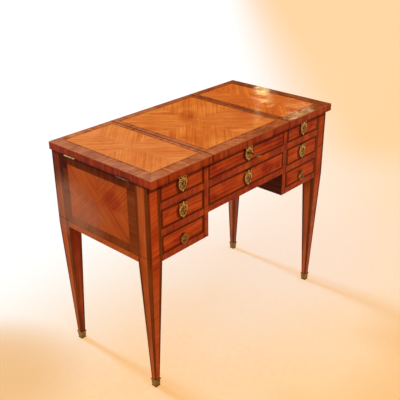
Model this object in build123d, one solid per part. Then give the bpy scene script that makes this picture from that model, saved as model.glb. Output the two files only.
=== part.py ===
from build123d import *
import os

# Poudreuse: a French dressing table on four tapered legs, with a three-part hinged top, a mirror
# under the middle lid, five drawers and a writing slide.
#
# Millimetres. +X is to the right and -Y to the front as the sitter sees it, +Z is up.
# The model is drawn about the middle of the top and moved at the end, so that the origin is on the
# floor under the middle of the whole plan, from the key's bow to the rear hinge knuckles.

# ---------------------------------------------------------------- overall form
top_width = 850.0            # over the three lids, flush with the case sides
top_depth = 435.0
table_height = 710.0
top_thickness = 23.8         # core board and both veneers
front_overhang = 19.0        # top past the case front
rear_overhang = 10.5
lid_seat_gap = 0.2           # closed lid above the case
lid_joint_gap = 0.5          # between neighbouring lids
lid_edge_radius = 1.2        # worn arris round each lid

# ---------------------------------------------------------------- carcase
leg_section = 47.0           # square stile and top of the taper
leg_ankle = 16.8             # leg width where it enters the sabot
spigot_section = 12.0        # leg's square end inside the sabot
kneehole_width = 368.0
partition_thickness = 20.0
end_panel_thickness = 20.0
back_thickness = 15.0
rail_height = 20.0
rail_depth = 30.0
top_row_height = 61.5
middle_row_height = 61.5
bottom_row_height = 59.0
shelf_thickness = 10.0       # dust boards, well floors and bottoms
guide_height = 18.0
tenon_length = 8.0
tenon_thickness = 10.0
tenon_shoulder = 4.0         # rail above and below its tenon
tongue_length = 6.0
tongue_thickness = 7.0
housing_depth = 5.0          # shelves let into panels and partitions

# ---------------------------------------------------------------- sabots
sabot_height = 28.0
sabot_foot = 18.6
sabot_foot_thickness = 2.6
sabot_neck = 16.6
sabot_neck_height = 5.2
sabot_cup = 18.4
sabot_cup_height = 20.2
sabot_collar = 21.8
sabot_collar_base = 23.2
sabot_collar_bevel = 1.8
sabot_rim = 19.9
sabot_curve = 0.5            # depth of the coves and swells
sabot_socket_floor = 7.0     # underside of the leg's spigot
sabot_socket_depth = 4.0     # leg let into the collar

# ---------------------------------------------------------------- drawers
front_thickness = 18.0
side_thickness = 9.0
bottom_thickness = 5.0
bottom_rise = 3.0            # drawer bottom above the running edge
groove_depth = 4.0
front_clearance = 0.6        # round each drawer front
run_clearance = 0.3          # under the running edges
side_relief = 4.0            # sides lower than the opening
drawer_rear_gap = 8.0
dovetail_lap = 5.5           # front left whole before the lapped dovetails
dovetail_count = 3
dovetail_share = 0.52        # of the height taken by the tails at their roots
dovetail_flare = 1.6         # each side of a tail, at its tip

# ---------------------------------------------------------------- writing slide and mirror
slide_length = 345.0
slide_thickness = 13.0
slide_side_clearance = 0.8
leather_margin = 32.0
leather_thickness = 1.2
well_front_thickness = 8.0
well_floor_thickness = 6.0
well_slide_gap = 2.0         # slide under the mirror well's floor
mirror_inset_side = 18.0     # frame inside the mirror well, at the sides
mirror_inset_end = 22.0
mirror_frame_width = 24.0
mirror_frame_thickness = 9.0
mirror_thickness = 3.0
mirror_rebate = 6.0
mirror_bevel = 4.0

# ---------------------------------------------------------------- hinges
hinge_length = 48.0
hinge_leaf_width = 13.0
hinge_leaf_thickness = 1.4
knuckle_radius = 1.9
knuckle_count = 5
knuckle_end_gap = 0.15
hinge_pin_radius = 0.9
hinge_pin_clearance = 0.05
hinge_head_length = 1.0
hinge_relief = 0.3           # wood cut clear of the knuckles
side_hinge_from_front = 91.0
side_hinge_from_rear = 87.0
rear_hinge_from_joint = 70.0

# ---------------------------------------------------------------- brassware
plate_thickness = 1.2
relief_rise = 1.5            # rim, ribbon and leaves above the plate
plate_width = 30.4
plate_height = 35.2
plate_fall = 3.4             # middle of the oval below the middle of the keyhole
plate_rim_width = 2.6
loop_length = 14.6           # the ribbon's two open loops
loop_height = 9.2
loop_ribbon = 2.2
loop_spread = 8.8            # each loop's middle from the centre line
loop_rise = 17.2             # and above the middle of the keyhole
loop_tilt = 20.0             # degrees
knot_radius = 3.0
finial_radius = 2.8
finial_rise = 22.4
tail_length = 12.0           # ribbon ends that fall beside the oval
tail_width = 3.6
tail_spread = 14.2
tail_rise = 9.0
tail_tilt = 66.0             # degrees
leaf_length = 7.4            # leaves round the lower half of the oval
leaf_width = 3.8
leaf_count = 5               # on each side
leaf_flare = 24.0            # degrees away from the rim
drop_length = 9.0            # pendant at the foot of the plate
drop_width = 5.0
keyhole_radius = 2.9
keyhole_slot_width = 2.8
keyhole_slot_length = 8.6
lock_width = 38.0
lock_height = 31.0
lock_depth = 10.0
lock_wall = 1.2
key_stem_radius = 2.4
key_reach = 46.0             # bow end past the case front
key_bow_width = 20.0
key_bow_length = 15.5
key_bow_thickness = 3.2
key_bow_wire = 2.5
key_bow_bar = 2.4            # between the two eyes of the bow
key_eye_length = 8.0
key_bow_edge = 0.8           # rounding of the bow
key_neck_length = 9.0        # turned part between shoulder and bow
key_neck_radius = 1.7
key_ring_radius = 3.5
key_ring_length = 2.4        # two turned rings, one at each end of the neck
key_bit_reach = 7.6
key_bit_length = 4.4
key_bit_thickness = 1.8
key_end_gap = 0.8
pull_above_middle = 1.0
rose_radius = 12.2           # rosette behind the ring
rose_thickness = 1.3
rose_rim_width = 2.2
rose_rim_swell = 0.9
rose_boss_radius = 4.4
rose_boss_height = 3.4       # top of the round boss above the drawer front
petal_count = 12             # hollows between the boss and the rim
petal_radius = 2.4
petal_depth = 0.6
stud_collar_radius = 3.5
stud_collar_height = 2.4
stud_neck_radius = 2.3
stud_ball_radius = 3.4
ring_standoff = 5.4
ring_radius = 12.6           # to the middle of the wire
ring_wire_radius = 1.45
ring_eye_clearance = 0.6

# ---------------------------------------------------------------- places worked out from the sizes
case_side = top_width / 2
case_front = -top_depth / 2 + front_overhang
case_back = top_depth / 2 - rear_overhang
lid_underside = table_height - top_thickness
case_top = lid_underside - lid_seat_gap
top_row_floor = case_top - top_row_height
upper_rail_base = top_row_floor - rail_height
middle_row_floor = upper_rail_base - middle_row_height
centre_underside = middle_row_floor - rail_height
bottom_row_floor = centre_underside - bottom_row_height
case_underside = bottom_row_floor - rail_height
kneehole_side = kneehole_width / 2
partition_outer = kneehole_side + partition_thickness
stile_inner = case_side - leg_section
panel_inner = case_side - end_panel_thickness
back_inner = case_back - back_thickness
front_leg_back = case_front + leg_section
rear_leg_front = case_back - leg_section
rail_back = case_front + rail_depth
front_back = case_front + front_thickness
column_middle = (stile_inner + partition_outer) / 2
lock_middle = (top_row_floor + case_top) / 2
middle_row_middle = middle_row_floor + middle_row_height / 2
bottom_row_middle = bottom_row_floor + bottom_row_height / 2
well_front_face = front_back + slide_side_clearance
well_front_back = well_front_face + well_front_thickness
slide_underside = top_row_floor + run_clearance
well_floor_base = slide_underside + slide_thickness + well_slide_gap
well_floor_top = well_floor_base + well_floor_thickness
hinge_offset = knuckle_radius + hinge_relief
hinge_height = (case_top + lid_underside) / 2
plan_rear = max(top_depth / 2, case_back + hinge_offset + knuckle_radius)
plan_middle = (case_front - key_reach + plan_rear) / 2


# ---------------------------------------------------------------- helpers
def block(x_from, x_to, y_from, y_to, z_from, z_to):
    """A squared board between two corners."""
    size = (x_to - x_from, y_to - y_from, z_to - z_from)
    middle = ((x_from + x_to) / 2, (y_from + y_to) / 2, (z_from + z_to) / 2)
    return Pos(*middle) * Box(*size)


def mirrored(shape):
    """The right-hand twin of a left-hand piece."""
    return mirror(shape, about=Plane.YZ)


def square_turning(half_outline, reach):
    """A square moulded block: one half outline seen from the front and from the side."""
    half_face = make_face(half_outline)
    face = Plane.XZ * (half_face + mirror(half_face, about=Plane.YZ))
    along_y = extrude(face, amount=reach, both=True)
    return along_y & (Rot(0, 0, 90) * along_y)


def turned(half_outline):
    """A round piece about local Z: half an outline, radius across and height up."""
    return revolve(Plane.XZ * make_face(half_outline), Axis.Z)


# ---------------------------------------------------------------- carcase pieces (left side)
def rail(x_from, x_to, base):
    """A front rail with a stub tenon at each end."""
    body = block(x_from, x_to, case_front, rail_back, base, base + rail_height)
    tenon_front = case_front + (rail_depth - tenon_thickness) / 2
    tenon = block(x_from - tenon_length, x_to + tenon_length, tenon_front, tenon_front + tenon_thickness,
                  base + tenon_shoulder, base + rail_height - tenon_shoulder)
    return body + tenon


def leg_stile(x_sign, front):
    """The square upper part of a leg, as a plain block."""
    x_outer = x_sign * case_side
    x_inner = x_sign * stile_inner
    y_from, y_to = (case_front, front_leg_back) if front else (rear_leg_front, case_back)
    return block(min(x_outer, x_inner), max(x_outer, x_inner), y_from, y_to, case_underside, case_top)


def leg_blank(x_sign, front):
    """Stile, four-sided taper and the spigot that stands in the sabot."""
    middle_x = x_sign * (case_side - leg_section / 2)
    middle_y = case_front + leg_section / 2 if front else case_back - leg_section / 2
    ankle_height = sabot_height - sabot_socket_depth
    knee = Pos(middle_x, middle_y, case_underside) * Rectangle(leg_section, leg_section)
    ankle = Pos(middle_x, middle_y, ankle_height) * Rectangle(leg_ankle, leg_ankle)
    taper = loft([ankle, knee])
    half = spigot_section / 2
    spigot = block(middle_x - half, middle_x + half, middle_y - half, middle_y + half,
                   sabot_socket_floor, ankle_height)
    return leg_stile(x_sign, front) + taper + spigot


def sabot(x_sign, front):
    """Cast brass shoe: foot plate, waisted cup and moulded collar, hollow for the leg."""
    collar_top = sabot_height - sabot_collar_bevel
    foot_edge = sabot_foot / 2
    half_outline = [
        Line((0, 0), (foot_edge, 0)),
        Line((foot_edge, 0), (foot_edge, sabot_foot_thickness)),
        SagittaArc((foot_edge, sabot_foot_thickness), (sabot_neck / 2, sabot_neck_height), sabot_curve),
        SagittaArc((sabot_neck / 2, sabot_neck_height), (sabot_cup / 2, sabot_cup_height), -sabot_curve),
        SagittaArc((sabot_cup / 2, sabot_cup_height), (sabot_collar / 2, sabot_collar_base), sabot_curve),
        Line((sabot_collar / 2, sabot_collar_base), (sabot_collar / 2, collar_top)),
        SagittaArc((sabot_collar / 2, collar_top), (sabot_rim / 2, sabot_height), -sabot_curve),
        Line((sabot_rim / 2, sabot_height), (0, sabot_height)),
        Line((0, sabot_height), (0, 0)),
    ]
    middle_x = x_sign * (case_side - leg_section / 2)
    middle_y = case_front + leg_section / 2 if front else case_back - leg_section / 2
    casting = Pos(middle_x, middle_y, 0) * square_turning(half_outline, sabot_collar)
    return casting - leg_blank(x_sign, front)


def end_panel():
    """Left end of the case, tongued into both legs."""
    body = block(-case_side, -panel_inner, front_leg_back, rear_leg_front, case_underside, case_top)
    tongue_x = -(case_side + panel_inner) / 2
    half = tongue_thickness / 2
    tongue = block(tongue_x - half, tongue_x + half, front_leg_back - tongue_length,
                   rear_leg_front + tongue_length, case_underside, case_top)
    return body + tongue


def back_board_side():
    """Left board of the back, tongued into the rear leg."""
    body = block(-stile_inner, -kneehole_side, back_inner, case_back, case_underside, case_top)
    tongue_y = (back_inner + case_back) / 2
    half = tongue_thickness / 2
    tongue = block(-stile_inner - tongue_length, -stile_inner, tongue_y - half, tongue_y + half,
                   case_underside, case_top)
    return body + tongue


def side_shelf(top_z):
    """A board between end panel and partition, notched round the legs, flush with its rail."""
    board = block(-panel_inner - housing_depth, -partition_outer + housing_depth, rail_back, back_inner,
                  top_z - shelf_thickness, top_z)
    return board - leg_stile(-1, True) - leg_stile(-1, False)


def centre_shelf(top_z):
    """A board between the two partitions."""
    reach = kneehole_side + housing_depth
    return block(-reach, reach, rail_back, back_inner, top_z - shelf_thickness, top_z)


def drawer_guide(floor_z):
    """Strip that fills the step between end panel and leg and keeps a drawer straight."""
    return block(-panel_inner, -stile_inner, front_leg_back, rear_leg_front, floor_z, floor_z + guide_height)


# ---------------------------------------------------------------- hinges
def hinge_bore():
    return Rot(0, 90, 0) * Cylinder(hinge_pin_radius + hinge_pin_clearance, hinge_length + 2)


def hinge_leaf(side):
    """One leaf about an axis on local X. side is -1 for the fixed leaf below, 1 for the moving leaf."""
    gap = lid_seat_gap / 2
    step = hinge_length / knuckle_count
    low, high = (gap, gap + hinge_leaf_thickness) if side > 0 else (-gap - hinge_leaf_thickness, -gap)
    plate = block(-hinge_length / 2, hinge_length / 2, hinge_offset, hinge_offset + hinge_leaf_width,
                  low, high)
    for index in range(knuckle_count):
        if (index % 2 == 1) != (side > 0):
            continue
        start = -hinge_length / 2 + index * step + knuckle_end_gap
        end = -hinge_length / 2 + (index + 1) * step - knuckle_end_gap
        knuckle = Pos((start + end) / 2, 0, 0) * Rot(0, 90, 0) * Cylinder(knuckle_radius, end - start)
        plate += knuckle
        plate += block(start, end, 0, hinge_offset, low, high)
    return plate - hinge_bore()


def hinge_pin():
    """Steel pin with a flat head at each end, held by the knuckles."""
    pin = Rot(0, 90, 0) * Cylinder(hinge_pin_radius, hinge_length)
    for end in (-1, 1):
        place = end * (hinge_length + hinge_head_length) / 2
        pin += Pos(place, 0, 0) * Rot(0, 90, 0) * Cylinder(knuckle_radius * 0.8, hinge_head_length)
    return pin


def hinge_pocket():
    """What is cut from the wood round a hinge: both leaves' beds and room for the knuckles."""
    depth = lid_seat_gap / 2 + hinge_leaf_thickness
    bed = block(-hinge_length / 2, hinge_length / 2, 0, hinge_offset + hinge_leaf_width, -depth, depth)
    length = hinge_length + 2 * (hinge_head_length + hinge_relief)
    return bed + Rot(0, 90, 0) * Cylinder(knuckle_radius + hinge_relief, length)


side_hinge_axis = case_side + hinge_offset
rear_hinge_axis = case_back + hinge_offset
side_hinge_places = [case_front + side_hinge_from_front, case_back - side_hinge_from_rear]
rear_hinge_places = [-kneehole_side + rear_hinge_from_joint, kneehole_side - rear_hinge_from_joint]
left_hinges = [Pos(-side_hinge_axis, y, hinge_height) * Rot(0, 0, -90) for y in side_hinge_places]
right_hinges = [Pos(side_hinge_axis, y, hinge_height) * Rot(0, 0, 90) for y in side_hinge_places]
rear_hinges = [Pos(x, rear_hinge_axis, hinge_height) * Rot(0, 0, 180) for x in rear_hinge_places]


def hinge_parts(places, make, *arguments):
    return [place * make(*arguments) for place in places]


def cut_pockets(shape, places):
    for pocket in hinge_parts(places, hinge_pocket):
        shape = shape - pocket
    return shape


# ---------------------------------------------------------------- lids and mirror
def lid(x_from, x_to, places):
    """One board of the top, its arrises eased, let in for its hinges."""
    board = block(x_from, x_to, -top_depth / 2, top_depth / 2, lid_underside, table_height)
    upper = board.edges().filter_by_position(Axis.Z, table_height - 0.01, table_height + 0.01)
    board = fillet(upper, lid_edge_radius)
    return cut_pockets(board, places)


mirror_side = kneehole_side - mirror_inset_side
mirror_front = well_front_back + mirror_inset_end
mirror_rear = back_inner - mirror_inset_end


def mirror_glass():
    """Plate with a bevelled face, held in the frame's rebate against the lid."""
    edge = mirror_frame_width - mirror_rebate
    plate = block(-mirror_side + edge, mirror_side - edge, mirror_front + edge, mirror_rear - edge,
                  lid_underside - mirror_thickness, lid_underside)
    return plate


def mirror_frame():
    """Moulded frame under the middle lid."""
    low = lid_underside - mirror_frame_thickness
    outer = block(-mirror_side, mirror_side, mirror_front, mirror_rear, low, lid_underside)
    width = mirror_frame_width
    sight = block(-mirror_side + width, mirror_side - width, mirror_front + width, mirror_rear - width,
                  low - 1, lid_underside + 1)
    frame = outer - sight
    inner = frame.edges().filter_by_position(Axis.Z, low - 0.01, low + 0.01)
    inner = inner.filter_by(lambda edge: abs(edge.center().X) < mirror_side - 1
                            and mirror_front + 1 < edge.center().Y < mirror_rear - 1)
    frame = chamfer(inner, mirror_bevel)
    return frame - mirror_glass()


# ---------------------------------------------------------------- brassware
def keyhole(middle_x, middle_z, y_from, y_to):
    """Round hole with a slot below it, cut from y_from to y_to."""
    place = Pos(middle_x, (y_from + y_to) / 2, middle_z) * Rot(90, 0, 0)
    bow = place * Cylinder(keyhole_radius, y_to - y_from)
    half = keyhole_slot_width / 2
    slot = block(middle_x - half, middle_x + half, y_from, y_to, middle_z - keyhole_slot_length, middle_z)
    return bow + slot


def oval(middle_x, middle_z, length, width, tilt):
    """One ellipse of a flat ornament, its length tilted from the horizontal in degrees."""
    return Pos(middle_x, middle_z) * Rot(0, 0, tilt) * Ellipse(length / 2, width / 2)


def plate_ornament():
    """Raised parts of an escutcheon, flat: rim, leaves, pendant and the bow of ribbon with its tails."""
    outer = oval(0, -plate_fall, plate_width, plate_height, 0)
    both_rims = 2 * plate_rim_width
    ornament = outer - oval(0, -plate_fall, plate_width - both_rims, plate_height - both_rims, 0)
    rim_edge = outer.edges()[0]
    for side in (-1, 1):
        for index in range(leaf_count):
            share = 1 - 0.25 * (index + 0.3) / leaf_count
            place = rim_edge.position_at(share)
            tilt = rim_edge.tangent_angle_at(share) + leaf_flare
            ornament += oval(side * place.X, place.Y, leaf_length, leaf_width, side * tilt)
        ornament += oval(side * tail_spread, tail_rise, tail_length, tail_width, -side * tail_tilt)
        ornament += oval(side * loop_spread, loop_rise, loop_length, loop_height, side * loop_tilt)
    for side in (-1, 1):
        ornament -= oval(side * loop_spread, loop_rise, loop_length - 2 * loop_ribbon,
                         loop_height - 2 * loop_ribbon, side * loop_tilt)
    ornament += Pos(0, loop_rise) * Circle(knot_radius)
    ornament += Pos(0, finial_rise) * Circle(finial_radius)
    ornament += oval(0, -plate_fall - plate_height / 2, drop_width, drop_length, 0)
    return ornament


def escutcheon(middle_x, middle_z):
    """Cartouche plate: an oval with leaves round its foot, hung from a bow of ribbon with open loops."""
    ornament = plate_ornament()
    field = oval(0, -plate_fall, plate_width - plate_rim_width, plate_height - plate_rim_width, 0)
    plate = extrude(ornament, plate_thickness + relief_rise) + extrude(field, plate_thickness)
    plane = Plane(origin=(middle_x, case_front, middle_z), x_dir=(1, 0, 0), z_dir=(0, -1, 0))
    placed = plane * plate
    reach = plate_thickness + relief_rise + 1
    return placed - keyhole(middle_x, middle_z, case_front - reach, case_front + 1)


def lock(middle_x, middle_z):
    """Hollow lock case let into the back of a front, with its keyhole in front."""
    outer = block(middle_x - lock_width / 2, middle_x + lock_width / 2, front_back - lock_depth, front_back,
                  middle_z - lock_height / 2, middle_z + lock_height / 2)
    inner = block(middle_x - lock_width / 2 + lock_wall, middle_x + lock_width / 2 - lock_wall,
                  front_back - lock_depth + lock_wall, front_back - lock_wall,
                  middle_z - lock_height / 2 + lock_wall, middle_z + lock_height / 2 - lock_wall)
    hole = keyhole(middle_x, middle_z, front_back - lock_depth - 1, front_back - lock_depth + lock_wall + 0.5)
    return outer - inner - hole


def lock_bed(middle_x, middle_z):
    """Wood taken out of a front for its lock and key."""
    pocket = block(middle_x - lock_width / 2, middle_x + lock_width / 2, front_back - lock_depth,
                   front_back + 1, middle_z - lock_height / 2, middle_z + lock_height / 2)
    return pocket + keyhole(middle_x, middle_z, case_front - 1, front_back - lock_depth + 0.5)


def key_stem(length):
    """Turned stem: plain in the lock, then a ring, a waisted neck and a second ring at the bow."""
    shoulder = length - key_neck_length
    neck_from, neck_to = shoulder + key_ring_length, length - key_ring_length
    ring_bulge = key_stem_radius - key_ring_radius
    neck_waist = key_stem_radius - key_neck_radius
    outline = [
        Line((0, 0), (key_stem_radius, 0)),
        Line((key_stem_radius, 0), (key_stem_radius, shoulder)),
        SagittaArc((key_stem_radius, shoulder), (key_stem_radius, neck_from), ring_bulge),
        SagittaArc((key_stem_radius, neck_from), (key_stem_radius, neck_to), neck_waist),
        SagittaArc((key_stem_radius, neck_to), (key_stem_radius, length), ring_bulge),
        Line((key_stem_radius, length), (0, length)),
        Line((0, length), (0, 0)),
    ]
    return turned(outline)


def key_bow():
    """Flat bow with two eyes, its edges rounded, about the middle of its length."""
    outline = Ellipse(key_bow_width / 2, key_bow_length / 2)
    eye_width = key_bow_width / 2 - key_bow_wire - key_bow_bar / 2
    for side in (-1, 1):
        outline -= oval(side * (key_bow_bar + eye_width) / 2, 0, eye_width, key_eye_length, 0)
    bow = extrude(outline, key_bow_thickness / 2, both=True)
    faces = bow.faces().filter_by(Axis.Z)
    return fillet(faces.edges(), key_bow_edge)


def key(middle_x, middle_z):
    """Key standing in the slide's lock: bow, turned stem and bit."""
    inner_end = front_back - lock_wall - key_end_gap
    outer_end = case_front - key_reach
    stem_end = outer_end + key_bow_length - key_bow_wire / 2
    stem = Pos(0, inner_end, 0) * Rot(90, 0, 0) * key_stem(inner_end - stem_end)
    bow = Pos(0, outer_end + key_bow_length / 2, 0) * key_bow()
    bit = block(0, key_bit_reach, inner_end - key_bit_length, inner_end, -key_bit_thickness / 2,
                key_bit_thickness / 2)
    return Pos(middle_x, 0, middle_z) * (stem + bow + bit)


def pull_place(x_sign):
    return Pos(x_sign * column_middle, case_front, bottom_row_middle + pull_above_middle)


def ring_rose(x_sign):
    """Turned rosette with a raised rim, a round boss and a ring of hollows, and the stud above it
    whose eye carries the ring."""
    dish_radius = rose_radius - rose_rim_width
    half_outline = [
        Line((0, 0), (rose_radius, 0)),
        Line((rose_radius, 0), (rose_radius, rose_thickness)),
        SagittaArc((rose_radius, rose_thickness), (dish_radius, rose_thickness), -rose_rim_swell),
        Line((dish_radius, rose_thickness), (0, rose_thickness)),
        Line((0, rose_thickness), (0, 0)),
    ]
    boss_rise = rose_boss_height - rose_thickness
    boss_ball = (rose_boss_radius**2 + boss_rise**2) / (2 * boss_rise)
    boss = Pos(0, 0, rose_boss_height - boss_ball) * Sphere(boss_ball)
    boss &= Pos(0, 0, rose_boss_height / 2) * Cylinder(rose_boss_radius, rose_boss_height)
    rosette = turned(half_outline) + boss
    petal_height = rose_thickness - petal_depth + petal_radius
    for petal in range(petal_count):
        hollow = Pos((dish_radius + rose_boss_radius) / 2, 0, petal_height) * Sphere(petal_radius)
        rosette -= Rot(0, 0, petal * 360 / petal_count) * hollow
    stud = Pos(0, 0, stud_collar_height / 2) * Cylinder(stud_collar_radius, stud_collar_height)
    stud += Pos(0, 0, ring_standoff / 2) * Cylinder(stud_neck_radius, ring_standoff)
    stud += Pos(0, 0, ring_standoff) * Sphere(stud_ball_radius)
    stud -= Pos(0, 0, ring_standoff) * Rot(0, 90, 0) * Cylinder(ring_wire_radius + ring_eye_clearance,
                                                             4 * stud_ball_radius)
    return pull_place(x_sign) * Rot(90, 0, 0) * (Pos(0, -ring_radius, 0) * rosette + stud)


def ring(x_sign):
    """Plain ring hanging through its stud."""
    hoop = Pos(0, -ring_standoff, -ring_radius) * Rot(90, 0, 0) * Torus(ring_radius, ring_wire_radius)
    return pull_place(x_sign) * hoop


# ---------------------------------------------------------------- drawers
def tails(x_from, x_to, y_root, y_tip, z_from, z_to):
    """Dovetail tails at one end of a drawer side, wider at their tips."""
    pitch = (z_to - z_from) / dovetail_count
    half_root = pitch * dovetail_share / 2
    half_tip = half_root + dovetail_flare
    plane = Plane(origin=(x_from, 0, 0), x_dir=(0, 1, 0), z_dir=(1, 0, 0))
    result = []
    for index in range(dovetail_count):
        middle = z_from + (index + 0.5) * pitch
        outline = Polyline((y_root, middle - half_root), (y_tip, middle - half_tip),
                           (y_tip, middle + half_tip), (y_root, middle + half_root), close=True)
        result.append(extrude(plane * make_face(outline), x_to - x_from))
    return result


def drawer(x_from, x_to, floor_z, opening_height, has_lock):
    """Front, two sides, back and bottom of one drawer, dovetailed and grooved together."""
    left, right = x_from + front_clearance, x_to - front_clearance
    low = floor_z + run_clearance
    side_top = floor_z + opening_height - side_relief
    rear = back_inner - drawer_rear_gap
    back_face = rear - side_thickness
    bottom_low = low + bottom_rise
    bottom = block(left + side_thickness - groove_depth, right - side_thickness + groove_depth,
                   front_back - groove_depth, rear, bottom_low, bottom_low + bottom_thickness)
    sides = []
    for side_left in (left, right - side_thickness):
        side_right = side_left + side_thickness
        side = block(side_left, side_right, front_back, back_face, low, side_top)
        for tail in tails(side_left, side_right, front_back, case_front + dovetail_lap, low, side_top):
            side += tail
        for tail in tails(side_left, side_right, back_face, rear, bottom_low + bottom_thickness, side_top):
            side += tail
        sides.append(side - bottom)
    back = block(left, right, back_face, rear, bottom_low + bottom_thickness, side_top)
    front = block(left, right, case_front, front_back, low, floor_z + opening_height - front_clearance)
    for side in sides:
        back = back - side
        front = front - side
    front = front - bottom
    if has_lock:
        front = front - lock_bed((left + right) / 2, floor_z + opening_height / 2)
    return front, sides + [back, bottom]


# ---------------------------------------------------------------- writing slide
def slide_board():
    """Board that runs on the bed under the mirror well, sunk for its leather."""
    reach = kneehole_side - slide_side_clearance
    rear = case_front + slide_length
    body = block(-reach, reach, front_back, rear, slide_underside, slide_underside + slide_thickness)
    third = slide_thickness / 3
    tongue = block(-reach, reach, front_back - tongue_length, front_back, slide_underside + third,
                   slide_underside + 2 * third)
    return body + tongue - slide_leather()


def slide_leather():
    reach = kneehole_side - slide_side_clearance - leather_margin
    top = slide_underside + slide_thickness
    return block(-reach, reach, front_back + leather_margin, case_front + slide_length - leather_margin,
                 top - leather_thickness, top)


def slide_front():
    """Drawer-like front of the writing slide, with the lock that holds the key."""
    reach = kneehole_side - front_clearance
    body = block(-reach, reach, case_front, front_back, slide_underside, case_top - front_clearance)
    return body - slide_board() - lock_bed(0, lock_middle)


# ---------------------------------------------------------------- assembly
nodes = {}

rails_left = [rail(-stile_inner, -partition_outer, base)
              for base in (case_underside, centre_underside, upper_rail_base)]
rails_centre = [rail(-kneehole_side, kneehole_side, base) for base in (centre_underside, upper_rail_base)]
panel = end_panel()
back_side = back_board_side()
back_centre = block(-kneehole_side, kneehole_side, back_inner, case_back, centre_underside, case_top)
shelves_left = [side_shelf(top_z) for top_z in (bottom_row_floor, middle_row_floor, top_row_floor)]
bed = centre_shelf(top_row_floor)
centre_bottom = centre_shelf(middle_row_floor)
well_floor = block(-kneehole_side - housing_depth, kneehole_side + housing_depth, well_front_face, back_inner,
                   well_floor_base, well_floor_top)
well_front = block(-kneehole_side, kneehole_side, well_front_face, well_front_back, well_floor_top, case_top)

partition = block(-partition_outer, -kneehole_side, case_front, back_inner, case_underside, case_top)
for neighbour in rails_left + rails_centre + shelves_left + [bed, centre_bottom, well_floor]:
    partition = partition - neighbour
front_leg = leg_blank(-1, True)
for neighbour in rails_left + [panel]:
    front_leg = front_leg - neighbour
rear_leg = leg_blank(-1, False) - panel - back_side
for shelf in shelves_left:
    panel = panel - shelf
panel = cut_pockets(panel, left_hinges)
back_centre = cut_pockets(back_centre, rear_hinges)

nodes["leg_front_left"] = front_leg
nodes["leg_front_right"] = mirrored(front_leg)
nodes["leg_rear_left"] = rear_leg
nodes["leg_rear_right"] = mirrored(rear_leg)
nodes["sabots"] = [sabot(x_sign, front) for x_sign in (-1, 1) for front in (True, False)]
nodes["end_panel_left"] = panel
nodes["end_panel_right"] = mirrored(panel)
nodes["back_boards"] = [back_side, back_centre, mirrored(back_side)]
nodes["partition_left"] = partition
nodes["partition_right"] = mirrored(partition)
nodes["rails_left"] = rails_left
nodes["rails_right"] = [mirrored(piece) for piece in rails_left]
nodes["rails_centre"] = rails_centre
nodes["bottom_boards"] = [shelves_left[0], mirrored(shelves_left[0])]
nodes["dust_boards"] = [shelves_left[1], mirrored(shelves_left[1])]
nodes["well_floors"] = [shelves_left[2], mirrored(shelves_left[2])]
nodes["bottom_board_centre"] = centre_bottom
nodes["slide_bed"] = bed
nodes["mirror_well_floor"] = well_floor
nodes["mirror_well_front"] = well_front
guides_left = [drawer_guide(bottom_row_floor), drawer_guide(middle_row_floor)]
nodes["drawer_guides"] = guides_left + [mirrored(piece) for piece in guides_left]

sham = block(-stile_inner, -partition_outer, case_front, front_back, top_row_floor, case_top)
sham = sham - keyhole(-column_middle, lock_middle, case_front - 1, front_back + 1)
nodes["sham_front_left"] = sham
nodes["sham_front_right"] = mirrored(sham)
nodes["sham_escutcheons"] = [escutcheon(x_sign * column_middle, lock_middle) for x_sign in (-1, 1)]

all_hinges = left_hinges + right_hinges + rear_hinges
nodes["case_hinge_leaves"] = hinge_parts(all_hinges, hinge_leaf, -1)
nodes["hinge_pins"] = hinge_parts(all_hinges, hinge_pin)

lid_joint = kneehole_side + lid_joint_gap
nodes["lid_left"] = lid(-case_side, -lid_joint, left_hinges)
nodes["lid_left_hinge_leaves"] = hinge_parts(left_hinges, hinge_leaf, 1)
nodes["lid_right"] = lid(lid_joint, case_side, right_hinges)
nodes["lid_right_hinge_leaves"] = hinge_parts(right_hinges, hinge_leaf, 1)
nodes["lid_centre"] = lid(-kneehole_side, kneehole_side, rear_hinges)
nodes["lid_centre_hinge_leaves"] = hinge_parts(rear_hinges, hinge_leaf, 1)
nodes["mirror_frame"] = mirror_frame()
nodes["mirror_glass"] = mirror_glass()

for name, x_sign in (("left", -1), ("right", 1)):
    column = sorted((x_sign * stile_inner, x_sign * partition_outer))
    middle_x = x_sign * column_middle
    front, box = drawer(*column, middle_row_floor, middle_row_height, True)
    nodes[f"drawer_middle_{name}_front"] = front
    nodes[f"drawer_middle_{name}_box"] = box
    nodes[f"drawer_middle_{name}_escutcheon"] = escutcheon(middle_x, middle_row_middle)
    nodes[f"drawer_middle_{name}_lock"] = lock(middle_x, middle_row_middle)
    front, box = drawer(*column, bottom_row_floor, bottom_row_height, False)
    nodes[f"drawer_bottom_{name}_front"] = front
    nodes[f"drawer_bottom_{name}_box"] = box
    nodes[f"drawer_bottom_{name}_rose"] = ring_rose(x_sign)
    nodes[f"drawer_bottom_{name}_ring"] = ring(x_sign)

front, box = drawer(-kneehole_side, kneehole_side, middle_row_floor, middle_row_height, True)
nodes["drawer_centre_front"] = front
nodes["drawer_centre_box"] = box
nodes["drawer_centre_escutcheon"] = escutcheon(0, middle_row_middle)
nodes["drawer_centre_lock"] = lock(0, middle_row_middle)

nodes["slide_front"] = slide_front()
nodes["slide_board"] = slide_board()
nodes["slide_leather"] = slide_leather()
nodes["slide_escutcheon"] = escutcheon(0, lock_middle)
nodes["slide_lock"] = lock(0, lock_middle)
nodes["key"] = key(0, lock_middle)

os.makedirs("parts", exist_ok=True)
for name, pieces in nodes.items():
    solids = []
    for piece in pieces if isinstance(pieces, list) else [pieces]:
        solids += (Pos(0, -plan_middle, 0) * piece).solids()
    shape = solids[0] if len(solids) == 1 else Compound(solids)
    export_step(shape, f"parts/{name}.step")
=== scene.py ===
import math

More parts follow.
